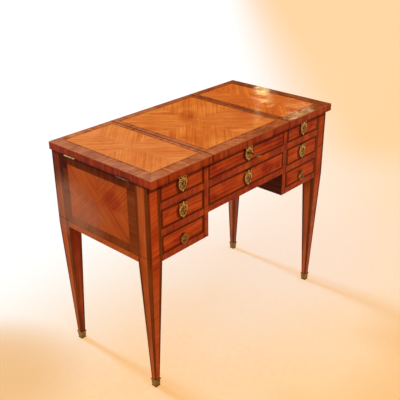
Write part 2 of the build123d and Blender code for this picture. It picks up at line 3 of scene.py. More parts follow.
import bmesh
import bpy
from mathutils import Matrix, Vector


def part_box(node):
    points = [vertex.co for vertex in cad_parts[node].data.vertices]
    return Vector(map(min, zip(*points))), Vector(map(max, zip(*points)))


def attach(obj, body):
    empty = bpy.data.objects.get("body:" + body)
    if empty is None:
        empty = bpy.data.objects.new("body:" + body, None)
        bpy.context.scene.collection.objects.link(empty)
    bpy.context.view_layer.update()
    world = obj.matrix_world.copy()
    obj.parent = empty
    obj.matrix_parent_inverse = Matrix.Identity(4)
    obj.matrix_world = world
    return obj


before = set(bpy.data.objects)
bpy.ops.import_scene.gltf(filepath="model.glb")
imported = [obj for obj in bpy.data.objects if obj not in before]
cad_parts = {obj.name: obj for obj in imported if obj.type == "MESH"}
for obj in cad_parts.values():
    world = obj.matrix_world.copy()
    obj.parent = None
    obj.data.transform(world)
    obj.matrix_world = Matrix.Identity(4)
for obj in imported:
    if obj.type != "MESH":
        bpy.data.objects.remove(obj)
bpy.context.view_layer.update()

# Metres, in the frame of the CAD model: +X to the sitter's right, -Y to the front, +Z up.

# ---------------------------------------------------------------- camera
CAMERA_PLACE = (-1.49058, -1.34547, 1.42419)
CAMERA_AZIMUTH = -47.596     # degrees
CAMERA_ELEVATION = 26.229
CAMERA_ROLL = -0.459
CAMERA_LENS = 60.263         # millimetres
CAMERA_SENSOR = 36.0

# ---------------------------------------------------------------- marquetry, in metres
LID_OUTER_BAND = 0.041
LID_FRONT_BAND = 0.042
LID_REAR_BAND = 0.0285
LID_JOINT_BAND = 0.017
LID_CENTRE_JOINT_BAND = 0.019
TOP_GRAIN_ANGLE = 43.0       # degrees from the X axis
PANEL_GRAIN_ANGLE = 45.0
PANEL_FIELD_FRONT = 0.0325   # widths of the dark border round the end panel's field
PANEL_FIELD_REAR = 0.0235
PANEL_FIELD_TOP = 0.0265
PANEL_FIELD_BASE = 0.046
PANEL_FOOT_STRIP = 0.018     # light strip along the panel's lower edge
# Changes of colour along X across the top: where each starts and where it is complete.
PALE_FIELD = (-0.12, -0.3)
DEEP_FIELD = (0.0, 0.25)
BROWN_BAND = (-0.25, 0.32)
# painted sheen: the bands' left end is greyed, as their polish reflects a brighter room there
SHEEN_BAND = (-0.35, -0.42)
DARK_BAND = (0.36, 0.42)
GLINT_BAND = (0.19, 0.35)       # painted glint, from left to right, in the front band
# Ovals in the middle lid's field: place, length, width, slant in degrees, and how much darker.
CENTRE_PATCHES = ((0.012, 0.075, 0.075, 0.042, 38.0, 0.42), (0.125, 0.075, 0.07, 0.04, 40.0, -0.3))
STILE_WIDTH = 0.047
FRONT_CORNER_BAND = 0.18     # dark bands down each stile and leg, as shares of the face's width
FRONT_INNER_BAND = 0.23
SIDE_CORNER_BAND = 0.26
SIDE_INNER_BAND = 0.19
REAR_CORNER_BAND = 0.14
REAR_INNER_BAND = 0.32
BAND_SOFTNESS = 0.015        # of their edges, as a share too
# Shares of faded veneer and of painted sheen, the bright floor's reflection, low on each leg, by side and
# whether it is a front leg.
LEG_FADE_AND_SHEEN = {(-1, True): (0.35, 0.0), (-1, False): (0.35, 0.0),
            (1, True): (0.4, 0.14), (1, False): (0.4, 0.36)}
LEG_FOOT = 0.028             # top of the sabot
LEG_ANKLE = 0.0168           # leg width there
CASE_UNDERSIDE = 0.444
STILE_LINE_LOW = 0.466       # dark line round the foot of each stile
STILE_LINE_HIGH = 0.4692
FRONT_BORDER = 0.0068        # dark line round each drawer front
FRONT_PLANE = -0.185
LID_UNDERSIDE = 0.6862
LID_OUTER_END = 0.4          # a lid that reaches past this has an outer end there, and no joint
FRONT_LID_SHADOW = 0.0200         # reach of the painted shadow below the lids, on the front and on the ends
END_LID_SHADOW = 0.0055
JOINT_GRIME = 0.0032         # reach of the darkening along the joints between the lids
BRASS_RELIEF = 0.0027        # thickness of the escutcheons
PARTITION_LINE = 0.003
LINE_SOFTNESS = 0.00025      # of a crisp line's edge
ARRIS_WEAR_AND_HIGHLIGHT = 0.0022          # height of the pale line round each lid, partly wear and partly painted highlight
BAND_GRIME = 0.006           # width of the dirt along the lids' crossbanding
PANEL_TONGUE = 0.006         # part of an end panel's depth that the stiles hide
LEG_FADE_AND_SHEEN_END = 0.3           # height below which the legs' fading and painted sheen are complete
LEG_RUBBED = (0.1, 0.37)     # heights between which the left front leg is rubbed
CASE_SHADOW_LOW = 0.37         # height above which painted shadow of the case darkens the right legs' inner faces
REAR_STILE_SHADE = (0.55, 0.64)  # heights over which painted shadow of the lid darkens the left rear stile
BORDER_SHADE = (0.63, 0.68)      # and the border of the end panels
LEG_GRAIN_SLOPE = 0.22       # of the grain across each leg's front
FLOOR_SHEEN_PLACE = (0.165, 0.515)     # painted sheen, the bright floor's reflection, at the back of the left end: along Y, and up
FLOOR_SHEEN_SIZE = (0.2, 0.12)
STAIN_PLACE = (-0.042, 0.602)    # dark stain in the left end's field
STAIN_SIZE = (0.05, 0.045)
FILLET_LINE = (0.010, 0.0112)    # gilt line on the leather, from its edge

# ---------------------------------------------------------------- figure and polish
# Features of the figure that fill a metre along the grain, and across it.
WANDER = (4.0, 7.0)
CLOUD = (9.0, 22.0)
RIBBON = (2.0, 150.0)
FINE_LINE = (7.0, 430.0)
PORE = (170.0, 2400.0)
WANDER_REACH = 0.016         # of the grain's wandering sideways, in metres
FIGURE_WEIGHTS = (1.3, 1.6, 0.8)     # of clouds, ribbons and fine lines
PORE_DEPTH = 0.00005         # relief of the surface, in metres
LINE_HEIGHT = 0.00003
LID_SPECULAR = 0.045
PANEL_SPECULAR = 0.012
FRONT_SPECULAR = 0.02
SOLID_WOOD_SPECULAR = 0.25
WARM_REFLECTION = (1.0, 0.8, 0.55, 1.0)

# ---------------------------------------------------------------- hinges and their screws, in metres
CASE_TOP = 0.6860
END_LEAF = 0.4185            # middle of each end hinge's leaf from the middle of the case
END_HINGES = (-0.094, 0.1335)
REAR_LEAF = 0.2140
REAR_HINGE = 0.1140
SCREW_PLACES = (-0.0165, 0.0, 0.0165)
SCREW_RADIUS = 0.0026
SCREW_SLOT = 0.0006
SCREW_STEPS = 10             # along the rim of half a head
SLOT_STEPS = 24              # round the floor of the slot
SCREW_SINK = 0.0004          # below the face of the leaf
SCREW_RISE = 0.00006         # above it
SCREW_RIM = 0.000024         # height of the rim, under the bevel
SCREW_BEVEL = 0.86           # size of the flat inside the bevel, as a share
SCREW_CROWN = 0.45           # middle of that flat from the screw's, as a share of the radius
SLOT_LEVEL = 0.000012        # height of the slot's floor


# ---------------------------------------------------------------- colours
def srgb(red, green, blue):
    """A colour given as 0 to 255, as Blender's linear RGBA."""
    def linear(level):
        level = level / 255
        return level / 12.92 if level <= 0.04045 else ((level + 0.055) / 1.055) ** 2.4
    return (linear(red), linear(green), linear(blue), 1.0)


# Each veneer has its dark, middle and light colour.
PALE_TULIPWOOD = (srgb(192, 94, 38), srgb(218, 123, 60), srgb(232, 148, 80))
GOLDEN_TULIPWOOD = (srgb(174, 74, 22), srgb(211, 110, 42), srgb(231, 142, 62))
DEEP_TULIPWOOD = (srgb(164, 63, 14), srgb(203, 94, 27), srgb(224, 124, 41))
RED_TULIPWOOD = (srgb(122, 34, 15), srgb(190, 75, 32), srgb(220, 108, 50))
PURPLE_TULIPWOOD = (srgb(106, 22, 18), srgb(154, 40, 30), srgb(184, 62, 46))
ORANGE_TULIPWOOD = (srgb(150, 52, 12), srgb(200, 82, 20), srgb(220, 110, 36))
RAIL_TULIPWOOD = (srgb(104, 34, 20), srgb(166, 67, 37), srgb(198, 100, 58))
AMBER_TULIPWOOD = (srgb(122, 46, 14), srgb(178, 82, 31), srgb(202, 112, 52))
FADED_AMARANTH = (srgb(134, 68, 37), srgb(180, 99, 58), srgb(206, 128, 80))
BROWN_AMARANTH = (srgb(104, 36, 6), srgb(147, 64, 13), srgb(178, 90, 28))
DARK_AMARANTH = (srgb(76, 20, 3), srgb(120, 54, 15), srgb(150, 80, 32))
EDGE_TULIPWOOD = (srgb(112, 32, 7), srgb(150, 48, 12), srgb(180, 76, 28))
SHADED_VENEER = (srgb(70, 26, 12), srgb(112, 46, 22), srgb(134, 62, 34))
# painted shade: a darkened veneer for the shaded kneehole
KNEEHOLE_VENEER = (srgb(46, 20, 12), srgb(74, 34, 22), srgb(98, 48, 30))
# painted glint: pale veneer for a reflection of the window
GLINT_VENEER = (srgb(150, 96, 58), srgb(204, 156, 112), srgb(226, 184, 140))
# painted sheen: a greyed pale veneer laid where the polish reflects bright light
SHEEN_VENEER = (srgb(140, 100, 88), srgb(160, 118, 104), srgb(176, 134, 120))
OAK = (srgb(150, 104, 60), srgb(186, 138, 88), srgb(208, 164, 112))
BACK_OAK = (srgb(104, 62, 34), srgb(138, 88, 50), srgb(162, 110, 68))
BLACK_LINE = srgb(50, 18, 8)
BROWN_LINE = srgb(92, 34, 12)
BORDER_LINE = srgb(92, 34, 9)
# painted shadow of the brass mounts on the drawer fronts
MOUNT_SHADOW = srgb(70, 22, 6)
# painted shadow of the case
CASE_SHADOW_COLOUR = srgb(66, 42, 30)
# painted sheen: the pale colour laid where the polish reflects the bright floor
PAINTED_SHEEN = srgb(196, 152, 130)
# pale arris colour: partly wear, partly painted highlight
RUBBED_AND_LIT_ARRIS = srgb(206, 118, 66)
GILT = srgb(218, 174, 102)
WORN_BRASS = srgb(196, 138, 84)
SABOT_BRASS = srgb(144, 116, 66)
HINGE_BRASS = srgb(170, 144, 92)
BRASS_DIRT = srgb(96, 66, 28)
BRASS_RECESS = srgb(66, 30, 10)
DULL_BRASS = srgb(62, 34, 18)
STEEL = (srgb(70, 66, 62), srgb(132, 128, 122), srgb(168, 164, 158))
SLOT_DIRT = (srgb(18, 11, 7), srgb(46, 30, 20))
HIDE = (srgb(70, 26, 16), srgb(104, 42, 24), srgb(126, 58, 34))
HIDE_GILDING = srgb(190, 150, 76)
SILVERING = srgb(226, 228, 224)
FOXING = srgb(120, 112, 98)

# From near the camera to far from it.
FLOOR_SHADES = (srgb(255, 209, 156), srgb(253, 221, 191), srgb(250, 229, 217),
                srgb(251, 227, 214), srgb(252, 226, 205))
FLOOR_RUN = (-0.75, 1.1)     # distance from the table, away from the camera, over which they change
# painted pool of window light on the floor
FLOOR_LIGHT_POOL = srgb(255, 253, 252)
FLOOR_WARM_SIDE = srgb(255, 206, 142)
FLOOR_FAR_SIDE = srgb(254, 206, 150)
FLOOR_CORNER = srgb(238, 184, 124)

FLOOR_LIT_SHARE = (0.10, 0.52, 1.0, 1.0)     # of the floor's colour as seen: from the lamps
FLOOR_GLOW_SHARE = (0.92, 0.54, 0.11, 1.0)   # and of its own, so that its shadows stay light
FLOOR_REACH = 20.0
AWAY = (0.738, 0.674)        # from the camera over the floor, along X and Y
# Light of the room by height, from the horizon at 0 to overhead at 1.
ROOM_LIGHT = ((0.0, (0.84, 0.76, 0.66, 1.0)), (0.20, (0.84, 0.76, 0.66, 1.0)),
              (0.27, (0.11, 0.06, 0.025, 1.0)), (0.46, (0.11, 0.06, 0.025, 1.0)),
              (0.72, (0.92, 0.90, 0.86, 1.0)), (1.0, (0.92, 0.90, 0.86, 1.0)))
SUN_PLACE = (-0.15, 3.4, 2.4)
SUN_TARGET = (0.0, 0.0, 0.4)
SUN_STRENGTH = 2.4
SUN_ANGLE = 8.5              # degrees across
SUN_COLOUR = (1.0, 0.98, 0.95)
GAP_COLOUR = (1.0, 0.78, 0.36)
# Gaps of bright window: name, place, point of the top that mirrors it, width, height and power.
WINDOW_GAPS = (("gap_rear", (3.456, 2.363, 1.868), (0.396, 0.061, 0.710), 0.13, 0.05, 0.46),
               ("gap_middle", (3.416, 2.248, 1.909), (0.341, -0.012, 0.710), 0.10, 0.05, 0.09),
               ("gap_joint", (3.194, 2.214, 1.996), (0.182, -0.083, 0.710), 0.05, 0.03, 0.11),
               ("gap_front", (3.412, 1.923, 1.992), (0.264, -0.185, 0.710), 0.22, 0.05, 0.3))


# ---------------------------------------------------------------- procedural materials
class Value:
    """A number that varies over a surface. Arithmetic on it adds maths nodes to its material."""

    def __init__(self, recipe, socket):
        self.recipe = recipe
        self.socket = socket

    def __add__(self, other):
        return self.recipe.math("ADD", self, other)

    def __sub__(self, other):
        return self.recipe.math("SUBTRACT", self, other)

    def __mul__(self, other):
        return self.recipe.math("MULTIPLY", self, other)

    def __truediv__(self, other):
        return self.recipe.math("DIVIDE", self, other)

    def __rsub__(self, other):
        return self.recipe.math("SUBTRACT", other, self)

    def __abs__(self):
        return self.recipe.math("ABSOLUTE", self)

    __radd__ = __add__
    __rmul__ = __mul__

    def smaller(self, other):
        return self.recipe.math("MINIMUM", self, other)

    def larger(self, other):
        return self.recipe.math("MAXIMUM", self, other)


def fill_ramp(node, wanted):
    """Gives a colour ramp its stops, each a position and a colour."""
    stops = node.color_ramp.elements
    while len(stops) < len(wanted):
        stops.new(0.5)
    for stop, (position, colour) in zip(stops, wanted):
        stop.position = position
        stop.color = colour


class Recipe:
    """One procedural material, worked out from where each point lies on its CAD body."""

    def __init__(self, name):
        self.material = bpy.data.materials.new(name)
        self.material.use_nodes = True
        self.nodes = self.material.node_tree.nodes
        self.links = self.material.node_tree.links
        self.shader = self.nodes["Principled BSDF"]
        coordinates = self.nodes.new("ShaderNodeTexCoord")
        self.x, self.y, self.z = self.split(coordinates.outputs["Object"])
        self.normal_x, self.normal_y, self.normal_z = self.split(coordinates.outputs["Normal"])

    def feed(self, socket, value):
        if isinstance(value, Value):
            self.links.new(value.socket, socket)
        else:
            socket.default_value = value

    def split(self, vector):
        node = self.nodes.new("ShaderNodeSeparateXYZ")
        self.links.new(vector, node.inputs[0])
        return [Value(self, output) for output in node.outputs]

    def math(self, operation, first, second=0.0):
        node = self.nodes.new("ShaderNodeMath")
        node.operation = operation
        self.feed(node.inputs[0], first)
        self.feed(node.inputs[1], second)
        return Value(self, node.outputs[0])

    def ramp(self, value, start, end):
        """0 below start, 1 above end, smooth between them."""
        node = self.nodes.new("ShaderNodeMapRange")
        node.interpolation_type = "SMOOTHSTEP"
        self.feed(node.inputs["Value"], value)
        node.inputs["From Min"].default_value = start
        node.inputs["From Max"].default_value = end
        return Value(self, node.outputs["Result"])

    def over(self, value, limit, soft=LINE_SOFTNESS):
        """1 where value is over the limit."""
        return self.ramp(value, limit - soft, limit + soft)

    def under(self, value, limit, soft=LINE_SOFTNESS):
        return 1.0 - self.over(value, limit, soft)

    def between(self, value, low, high, soft=LINE_SOFTNESS):
        return self.over(value, low, soft) * self.under(value, high, soft)

    def pick(self, mask, outside, inside):
        """outside where mask is 0, inside where it is 1."""
        node = self.nodes.new("ShaderNodeMix")
        self.feed(node.inputs[0], mask)
        self.feed(node.inputs[2], outside)
        self.feed(node.inputs[3], inside)
        return Value(self, node.outputs[0])

    def blend(self, mask, outside, inside, mode="MIX"):
        """The same for colours."""
        node = self.nodes.new("ShaderNodeMix")
        node.data_type = "RGBA"
        node.blend_type = mode
        self.feed(node.inputs[0], mask)
        self.feed(node.inputs[6], outside)
        self.feed(node.inputs[7], inside)
        return Value(self, node.outputs[2])

    def texture(self, kind, coordinates, output, **settings):
        """A texture node's output at these three coordinates."""
        vector = self.nodes.new("ShaderNodeCombineXYZ")
        for socket, value in zip(vector.inputs, coordinates):
            self.feed(socket, value)
        node = self.nodes.new(kind)
        for name, value in {"Scale": 1.0, **settings}.items():
            node.inputs[name].default_value = value
        self.links.new(vector.outputs[0], node.inputs["Vector"])
        return Value(self, node.outputs[output])

    def noise(self, first, second, third, detail=2.0, roughness=0.5):
        """Soft noise from 0 to 1 whose features are about 1 across in each coordinate."""
        return self.texture("ShaderNodeTexNoise", (first, second, third), "Fac", Detail=detail,
                            Roughness=roughness)

    def grain(self, size, detail=2.0):
        """Noise with features of one size, given as how many of them fill a metre."""
        return self.noise(self.x * size, self.y * size, self.z * size, detail)

    def cells(self, size):
        """Distance to the nearest of many scattered points, of which size fill a metre."""
        return self.texture("ShaderNodeTexVoronoi", (self.x * size, self.y * size, self.z * size),
                            "Distance")

    def tint(self, value, colours):
        """A colour from evenly spaced stops."""
        node = self.nodes.new("ShaderNodeValToRGB")
        fill_ramp(node, [(index / (len(colours) - 1), colour) for index, colour in enumerate(colours)])
        self.feed(node.inputs["Fac"], value)
        return Value(self, node.outputs["Color"])

    def bump(self, height):
        """Relief, with its height in metres."""
        node = self.nodes.new("ShaderNodeBump")
        node.inputs["Strength"].default_value = 1.0
        node.inputs["Distance"].default_value = 1.0
        self.feed(node.inputs["Height"], height)
        self.links.new(node.outputs["Normal"], self.shader.inputs["Normal"])

    def finish(self, **settings):
        for name, value in settings.items():
            self.feed(self.shader.inputs[name.replace("_", " ").title().replace("Ior", "IOR")], value)
        return self.material


class Veneer(Recipe):
    """Sliced veneers laid side by side: each zone has its own wood and its own grain direction."""

    def __init__(self, name, wood, along, across, depth=0.0):
        super().__init__(name)
        self.along = along(self) if callable(along) else along
        self.across = across(self) if callable(across) else across
        self.depth = depth
        self.woods = [(None, wood)]
        self.shade = 0.0
        self.lines = []

    def lay(self, mask, wood, along, across, depth=0.0):
        """Covers the masked area with a wood whose grain follows along."""
        self.along = self.pick(mask, self.along, along)
        self.across = self.pick(mask, self.across, across)
        self.depth = self.pick(mask, self.depth, depth)
        self.woods.append((mask, wood))

    def darken(self, mask, amount):
        """Moves the figure towards its dark colour; a negative amount towards its light one."""
        self.shade = self.shade + mask * amount

    def line(self, mask, colour=BLACK_LINE):
        self.lines.append((mask, colour))

    def front_face(self):
        """1 on the faces that look to the front."""
        return self.under(self.normal_y, -0.5, 0.01)

    def relay(self, mask, wood):
        """Changes the wood of the masked area and leaves its grain as it runs."""
        self.lay(mask, wood, self.along, self.across, self.depth)

    def polish(self, figure, roughness, specular, wave=0.0, lid_shadow_reach=None):
        """French-polished wood: figure sets how lively the grain is, wave how uneven the surface,
        and the last argument how far a painted shadow darkens the wood below the lids."""
        wander = self.noise(self.along * WANDER[0], self.across * WANDER[1], self.depth)
        across = self.across + (wander - 0.5) * WANDER_REACH
        cloud = self.noise(self.along * CLOUD[0], across * CLOUD[1], self.depth + 3.1)
        ribbon = self.noise(self.along * RIBBON[0], across * RIBBON[1], self.depth + 7.7, 3.0, 0.6)
        line = self.noise(self.along * FINE_LINE[0], across * FINE_LINE[1], self.depth + 5.3, 3.0, 0.6)
        pore = self.noise(self.along * PORE[0], self.across * PORE[1], self.depth, 1.0)
        pits = self.ramp(pore, 0.62, 0.72)
        tone = ((cloud - 0.5) * FIGURE_WEIGHTS[0] + (ribbon - 0.5) * FIGURE_WEIGHTS[1]
                + (line - 0.5) * FIGURE_WEIGHTS[2])
        tone = tone * figure + 0.5 - self.shade - pits * 0.1
        colour = self.tint(tone, self.woods[0][1])
        for mask, wood in self.woods[1:]:
            colour = self.blend(mask, colour, self.tint(tone, wood))
        for mask, line_colour in self.lines:
            colour = self.blend(mask, colour, line_colour)
        if lid_shadow_reach is not None:
            # painted shadow: the wood is darkened just below the lids, where their overhang shades it
            below = LID_UNDERSIDE - self.z
            colour = self.blend(self.under(below - lid_shadow_reach, 0.0, 0.0025) * 0.78, colour, BLACK_LINE)
        height = line * LINE_HEIGHT - pits * PORE_DEPTH
        if wave:
            height = height + self.grain(15.0) * wave
        self.bump(height)
        smear = self.grain(26.0)
        return self.finish(base_color=colour, roughness=(smear - 0.5) * roughness * 0.6 + roughness,
                           specular_ior_level=specular, specular_tint=WARM_REFLECTION)


# ---------------------------------------------------------------- objects
def show(thing):
    """Puts a new object in the scene."""
    bpy.context.scene.collection.objects.link(thing)
    return thing


def new_object(name, shape, materials):
    """Turns a bmesh into an object of the scene."""
    mesh = bpy.data.meshes.new(name)
    shape.to_mesh(mesh)
    shape.free()
    for material in materials:
        mesh.materials.append(material)
    return show(bpy.data.objects.new(name, mesh))


def paint(node, material):
    """Puts one material on a CAD node."""
    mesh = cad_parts[node].data
    for index in range(len(mesh.materials)):
        mesh.materials[index] = material
    if not mesh.materials:
        mesh.materials.append(material)


def paint_all(nodes, material):
    for node in nodes:
        paint(node, material)


# ---------------------------------------------------------------- woods of each part
def quartered(first, second, angle):
    """Grain that runs to the middle of a field from its four corners: along and across it."""
    cosine, sine = math.cos(math.radians(angle)), math.sin(math.radians(angle))
    first, second = abs(first), abs(second)
    return first * cosine + second * sine, first * sine - second * cosine


def lid_band(veneer, band, grime_and_shadow):
    """Crossbanding of a lid: greyed with painted sheen at the left end, browner and darker at the right,
    and uneven.
    """
    # painted sheen at the left end of the bands
    veneer.relay(band * veneer.ramp(veneer.x, *SHEEN_BAND) * 0.28, SHEEN_VENEER)
    veneer.darken(band * veneer.ramp(grime_and_shadow, 0.5, 0.62), 0.22)
    veneer.darken(band * veneer.ramp(veneer.x, *DARK_BAND), 0.24)
    veneer.darken(band * veneer.ramp(grime_and_shadow, 0.47, 0.36), -0.22)


def front_band_glint(veneer, low):
    """The right lid's front band, with a painted glint: pale streaks that stand for the window's reflection
    in its polish.
    """
    rubbed_and_glint = veneer.between(veneer.x, *GLINT_BAND, 0.03) * veneer.under(veneer.y - low.y, LID_FRONT_BAND)
    uneven = veneer.noise(veneer.x * 30.0, veneer.y * 90.0, 0.0, 3.0)
    veneer.relay(rubbed_and_glint * veneer.ramp(uneven, 0.46, 0.6) * 0.55, GLINT_VENEER)


def oval_patch(veneer, field, middle_x, middle_y, length, width, angle, amount):
    """A slanting oval in the field of a lid, darker or lighter than the wood round it."""
    turn = math.radians(angle)
    run = (veneer.x - middle_x) * math.cos(turn) + (veneer.y - middle_y) * math.sin(turn)
    off = (veneer.y - middle_y) * math.cos(turn) - (veneer.x - middle_x) * math.sin(turn)
    reach = (run / length) * (run / length) + (off / width) * (off / width)
    veneer.darken(veneer.ramp(reach, 1.0, 0.0) * field, amount)


def lid_edges(veneer, low, high, grime_and_shadow):
    """Banded edges, darker along their foot, with a pale arris that is partly wear and partly a painted
    highlight, and a plain underside.
    """
    edge = veneer.under(abs(veneer.normal_z), 0.6, 0.15)
    end_edge = edge * veneer.over(abs(veneer.normal_x), 0.7, 0.01)
    veneer.lay(edge, EDGE_TULIPWOOD, veneer.z, veneer.x * 0.6, 1.0)
    veneer.lay(end_edge, EDGE_TULIPWOOD, veneer.z, veneer.y * 0.6, 2.0)
    veneer.darken(veneer.under(veneer.normal_y, -0.6, 0.1), -0.2)
    veneer.darken(edge * veneer.under(veneer.z - low.z, 0.0045, 0.004) * grime_and_shadow, 0.55)
    # pale arris: partly wear, partly a painted highlight along the top of the edges and on their rounding
    arris = edge * veneer.over(veneer.z, high.z - ARRIS_WEAR_AND_HIGHLIGHT, 0.001)
    veneer.line(arris * veneer.over(grime_and_shadow, 0.47, 0.1) * 0.45, RUBBED_AND_LIT_ARRIS)
    worn = veneer.between(veneer.normal_z, 0.3, 0.97, 0.1) * veneer.over(grime_and_shadow, 0.42, 0.12)
    veneer.darken(worn, -0.45)
    veneer.lay(veneer.under(veneer.normal_z, -0.6, 0.1), AMBER_TULIPWOOD, veneer.y, veneer.x, 8.0)


def lid_veneer(node, left_band, right_band, patches):
    """Top: mitred crossbanding round a quartered field, redder and deeper towards the right."""
    low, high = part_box(node)
    veneer = Veneer(f"{node}_veneer", GOLDEN_TULIPWOOD, lambda v: v.y, lambda v: v.x)
    left = (veneer.x - low.x) / left_band
    right = (high.x - veneer.x) / right_band
    front = (veneer.y - low.y) / LID_FRONT_BAND
    rear = (high.y - veneer.y) / LID_REAR_BAND
    sides, ends = left.smaller(right), front.smaller(rear)
    field = veneer.over(sides.smaller(ends), 1.0, 0.025)
    band = 1.0 - field
    side_band = veneer.under(sides - ends, 0.0, 0.004)
    from_middle_x = veneer.x - (low.x + left_band + high.x - right_band) / 2
    from_middle_y = veneer.y - (low.y + LID_FRONT_BAND + high.y - LID_REAR_BAND) / 2
    along, across = quartered(from_middle_x, from_middle_y, TOP_GRAIN_ANGLE)
    leaf = veneer.over(from_middle_x, 0.0) * 0.35 + veneer.over(from_middle_y, 0.0) * 0.6 + low.x * 9.0
    veneer.lay(band, FADED_AMARANTH, veneer.y, veneer.x, 4.0)
    veneer.lay(band * side_band, FADED_AMARANTH, veneer.x, veneer.y, 6.0)
    veneer.lay(band * veneer.ramp(veneer.x, *BROWN_BAND), BROWN_AMARANTH, veneer.across, veneer.along, 6.0)
    veneer.lay(field, GOLDEN_TULIPWOOD, along, across, leaf)
    veneer.lay(field * veneer.ramp(veneer.x, *PALE_FIELD), PALE_TULIPWOOD, along, across, leaf)
    veneer.lay(field * veneer.ramp(veneer.x, *DEEP_FIELD), DEEP_TULIPWOOD, along, across, leaf)
    to_side = (veneer.x - low.x - left_band).smaller(high.x - right_band - veneer.x)
    to_end = (veneer.y - low.y - LID_FRONT_BAND).smaller(high.y - LID_REAR_BAND - veneer.y)
    to_field = to_side.smaller(to_end)
    grime_and_shadow = veneer.noise(veneer.x * 45.0, veneer.y * 45.0, low.x * 5.0, 3.0)
    veneer.darken(veneer.between(to_field, -BAND_GRIME, 0.0, 0.0022) * (grime_and_shadow * 0.8), 0.9)
    lid_band(veneer, band, grime_and_shadow)
    if high.x > LID_OUTER_END:
        front_band_glint(veneer, low)
    for values in patches:
        oval_patch(veneer, field, *values)
    seam = veneer.under(abs(from_middle_x).smaller(abs(from_middle_y)), 0.0002, 0.0002)
    veneer.darken(seam * field, 0.25)
    for to_joint, joined in ((veneer.x - low.x, low.x > -LID_OUTER_END),
                             (high.x - veneer.x, high.x < LID_OUTER_END)):
        if joined:
            veneer.darken(veneer.under(to_joint, JOINT_GRIME, 0.0015) * (grime_and_shadow * 1.5), 1.0)
    lid_edges(veneer, low, high, grime_and_shadow)
    return veneer.polish(figure=0.85, roughness=0.07, specular=LID_SPECULAR, wave=0.0009)


def patch(veneer, across, up, width, height):
    """1 in the middle of an oval, 0 outside it, with an uneven edge."""
    ragged = veneer.grain(30.0)
    reach = (across / width) * (across / width) + (up / height) * (up / height)
    return veneer.ramp(reach + (ragged - 0.5) * 0.8, 1.0, 0.0)


def floor_sheen(veneer, face):
    """Painted sheen low down at the back of the left end: the bright floor's reflection in the polish."""
    haze = patch(veneer, veneer.y - FLOOR_SHEEN_PLACE[0], veneer.z - FLOOR_SHEEN_PLACE[1], *FLOOR_SHEEN_SIZE)
    veneer.line(face * haze * 0.3, PAINTED_SHEEN)


def end_panel_veneer(node, side):
    """End of the case: quartered field in a dark border, over a light foot strip."""
    low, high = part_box(node)
    low_y, high_y = low.y + PANEL_TONGUE, high.y - PANEL_TONGUE
    veneer = Veneer(f"{node}_veneer", SHADED_VENEER, lambda v: v.y, lambda v: v.z)
    face = veneer.over(veneer.normal_x * side, 0.5, 0.01)
    from_middle_y = veneer.y - (low_y + PANEL_FIELD_FRONT + high_y - PANEL_FIELD_REAR) / 2
    from_middle_z = veneer.z - (low.z + PANEL_FIELD_BASE + high.z - PANEL_FIELD_TOP) / 2
    along, across = quartered(from_middle_y, from_middle_z, PANEL_GRAIN_ANGLE)
    front, rear = veneer.y - low_y - PANEL_FIELD_FRONT, high_y - PANEL_FIELD_REAR - veneer.y
    base, top = veneer.z - low.z - PANEL_FIELD_BASE, high.z - PANEL_FIELD_TOP - veneer.z
    ends, levels = front.smaller(rear), base.smaller(top)
    field = veneer.over(ends.smaller(levels), 0.0)
    border = face * (1.0 - field)
    upright = veneer.under(ends - levels, 0.0, 0.0003)
    veneer.lay(face, DARK_AMARANTH, veneer.z, veneer.y, 2.0)
    veneer.lay(face * upright, DARK_AMARANTH, veneer.y, veneer.z, 3.0)
    foot = face * veneer.under(veneer.z - low.z, PANEL_FOOT_STRIP)
    veneer.lay(foot, AMBER_TULIPWOOD, veneer.z - veneer.y, veneer.z + veneer.y, 9.0)
    leaf = veneer.over(from_middle_y, 0.0) * 0.5 + veneer.over(from_middle_z, 0.0) * 0.8 + side * 2.0
    veneer.lay(face * field, AMBER_TULIPWOOD, along, across, leaf)
    # painted shadow of the lid's overhang: the border darkens towards its top
    veneer.darken(border * veneer.ramp(veneer.z, *BORDER_SHADE), 0.42)
    veneer.darken(border, -0.12)
    if side < 0:
        stain = patch(veneer, veneer.y - STAIN_PLACE[0], veneer.z - STAIN_PLACE[1], *STAIN_SIZE)
        veneer.lay(face * field * stain * 0.8, RED_TULIPWOOD, along, across, leaf)
        veneer.darken(stain * face * field, 0.25)
        veneer.darken(face * veneer.under(rear, 0.0), 0.25)
        floor_sheen(veneer, face)
    return veneer.polish(figure=0.58, roughness=0.22, specular=PANEL_SPECULAR, lid_shadow_reach=END_LID_SHADOW)


